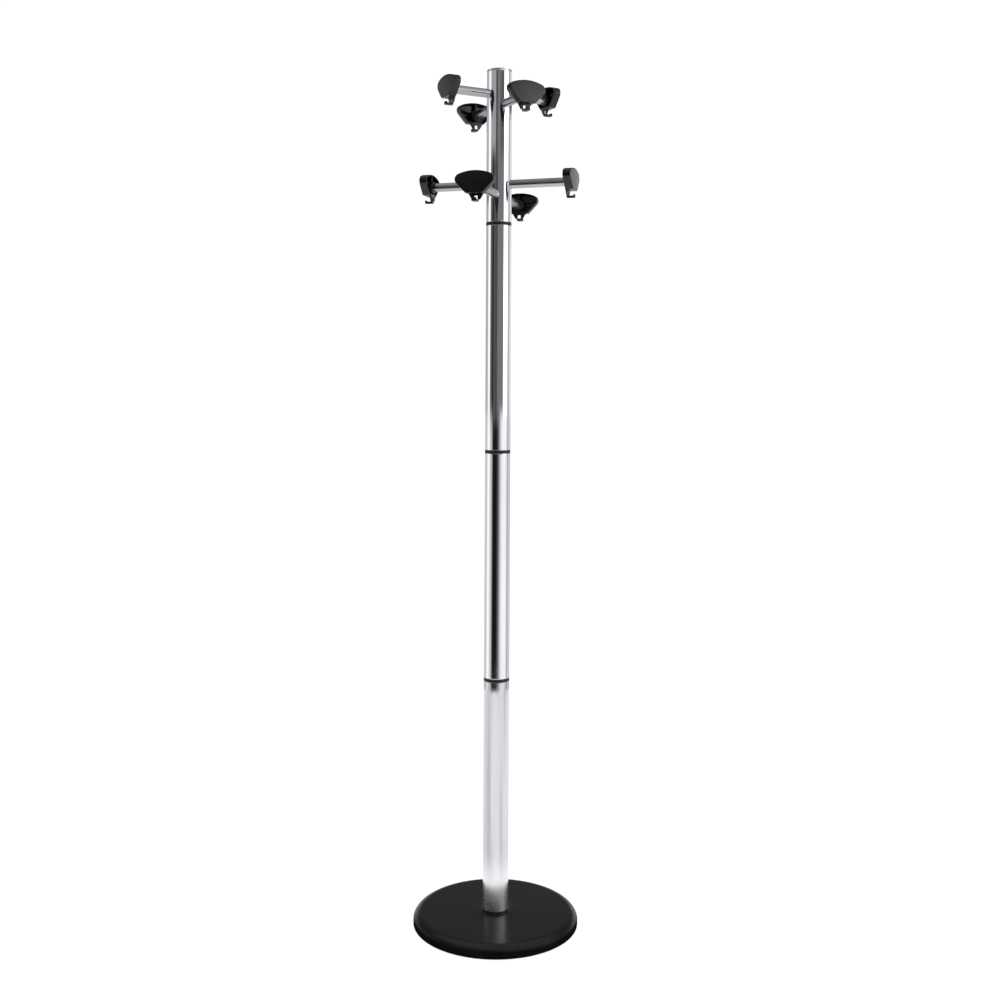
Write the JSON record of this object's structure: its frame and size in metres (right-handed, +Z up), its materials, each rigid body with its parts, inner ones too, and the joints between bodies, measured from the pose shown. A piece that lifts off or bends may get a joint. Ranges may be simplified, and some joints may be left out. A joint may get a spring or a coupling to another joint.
{
  "type": "standing coat rack",
  "caption": "Free-standing coat rack: a round weighted base, a sectional chrome pole with black joint rings, and tiers of crossed arms that end in wide moulded peg heads with hooks.",
  "frame": {"origin": "centre of the base on the floor", "axes": "+Z up the pole; the lower tier's arms lie along X and Y, and the upper tier's along the diagonals"},
  "size_m": [0.336, 0.336, 1.75],
  "materials": {
    "chrome_pole": "polished chrome plate",
    "chrome_cap": "polished chrome plate",
    "chrome_arm": "polished chrome plate",
    "black_peg": "moulded plastic with a satin sheen",
    "black_plug": "moulded plastic",
    "rubber_washer": "matt",
    "black_cover": "moulded plastic with a semi-gloss surface",
    "black_plate": "matt",
    "iron_weight": "as cast",
    "rubber_feet": "matt",
    "steel_fixings": "zinc plated",
    "natural_nylon": "matt, natural white"
  },
  "bodies": {
    "base_and_lower_section": {"base_cover": "black_cover", "base_weight": "iron_weight", "base_plate": "black_plate", "base_feet": "rubber_feet", "base_plate_screws": "steel_fixings", "pole_bolt": "steel_fixings", "pole_bolt_washer": "steel_fixings", "foot_plug": "black_plug", "lower_tube": "chrome_pole", "lower_tube_top_plug": "black_plug", "lower_joint_stud": "steel_fixings"},
    "lower_washer": {"lower_joint_washer": "rubber_washer"},
    "middle_section": {"middle_tube_bottom_plug": "black_plug", "middle_tube": "chrome_pole", "middle_tube_top_plug": "black_plug", "middle_joint_stud": "steel_fixings"},
    "middle_washer": {"middle_joint_washer": "rubber_washer"},
    "upper_section": {"upper_tube_bottom_plug": "black_plug", "upper_tube": "chrome_pole", "upper_tube_top_plug": "black_plug", "upper_joint_stud": "steel_fixings"},
    "upper_washer": {"upper_joint_washer": "rubber_washer"},
    "head_section": {"head_tube_bottom_plug": "black_plug", "head_tube": "chrome_pole", "top_cap": "chrome_cap", "lower_arm_block": "natural_nylon", "upper_arm_block": "natural_nylon", "lower_arm_bolt": "steel_fixings", "upper_arm_bolt": "steel_fixings", "arm_bolt_nuts": "steel_fixings", "lower_arm_high": "chrome_arm", "lower_arm_low": "chrome_arm", "upper_arm_high": "chrome_arm", "upper_arm_low": "chrome_arm", "arm_end_plugs": "natural_nylon", "peg_lower_right": "black_peg", "peg_lower_left": "black_peg", "peg_lower_front": "black_peg", "peg_lower_back": "black_peg", "peg_upper_back_right": "black_peg", "peg_upper_front_left": "black_peg", "peg_upper_front_right": "black_peg", "peg_upper_back_left": "black_peg"}
  },
  "joints": [
    {"name": "lower_joint_unscrew", "type": "hinge", "parent": "base_and_lower_section", "child": "lower_washer", "pos_m": [0, 0, 0.5], "axis": [0, 0, 1], "range_deg": [0, 3605]},
    {"name": "lower_joint_lift", "type": "slide", "parent": "lower_washer", "child": "middle_section", "axis": [0, 0, 1], "range_m": [0, 0.015]},
    {"name": "middle_joint_unscrew", "type": "hinge", "parent": "middle_section", "child": "middle_washer", "pos_m": [0, 0, 0.9665], "axis": [0, 0, 1], "range_deg": [0, 3605]},
    {"name": "middle_joint_lift", "type": "slide", "parent": "middle_washer", "child": "upper_section", "axis": [0, 0, 1], "range_m": [0, 0.015]},
    {"name": "upper_joint_unscrew", "type": "hinge", "parent": "upper_section", "child": "upper_washer", "pos_m": [0, 0, 1.433], "axis": [0, 0, 1], "range_deg": [0, 3605]},
    {"name": "upper_joint_lift", "type": "slide", "parent": "upper_washer", "child": "head_section", "axis": [0, 0, 1], "range_m": [0, 0.015]}
  ],
  "couplings": [
    {"joint": "lower_joint_unscrew", "follows": "lower_joint_lift", "rad_per_m": 4188.8},
    {"joint": "middle_joint_unscrew", "follows": "middle_joint_lift", "rad_per_m": 4188.8},
    {"joint": "upper_joint_unscrew", "follows": "upper_joint_lift", "rad_per_m": 4188.8}
  ]
}
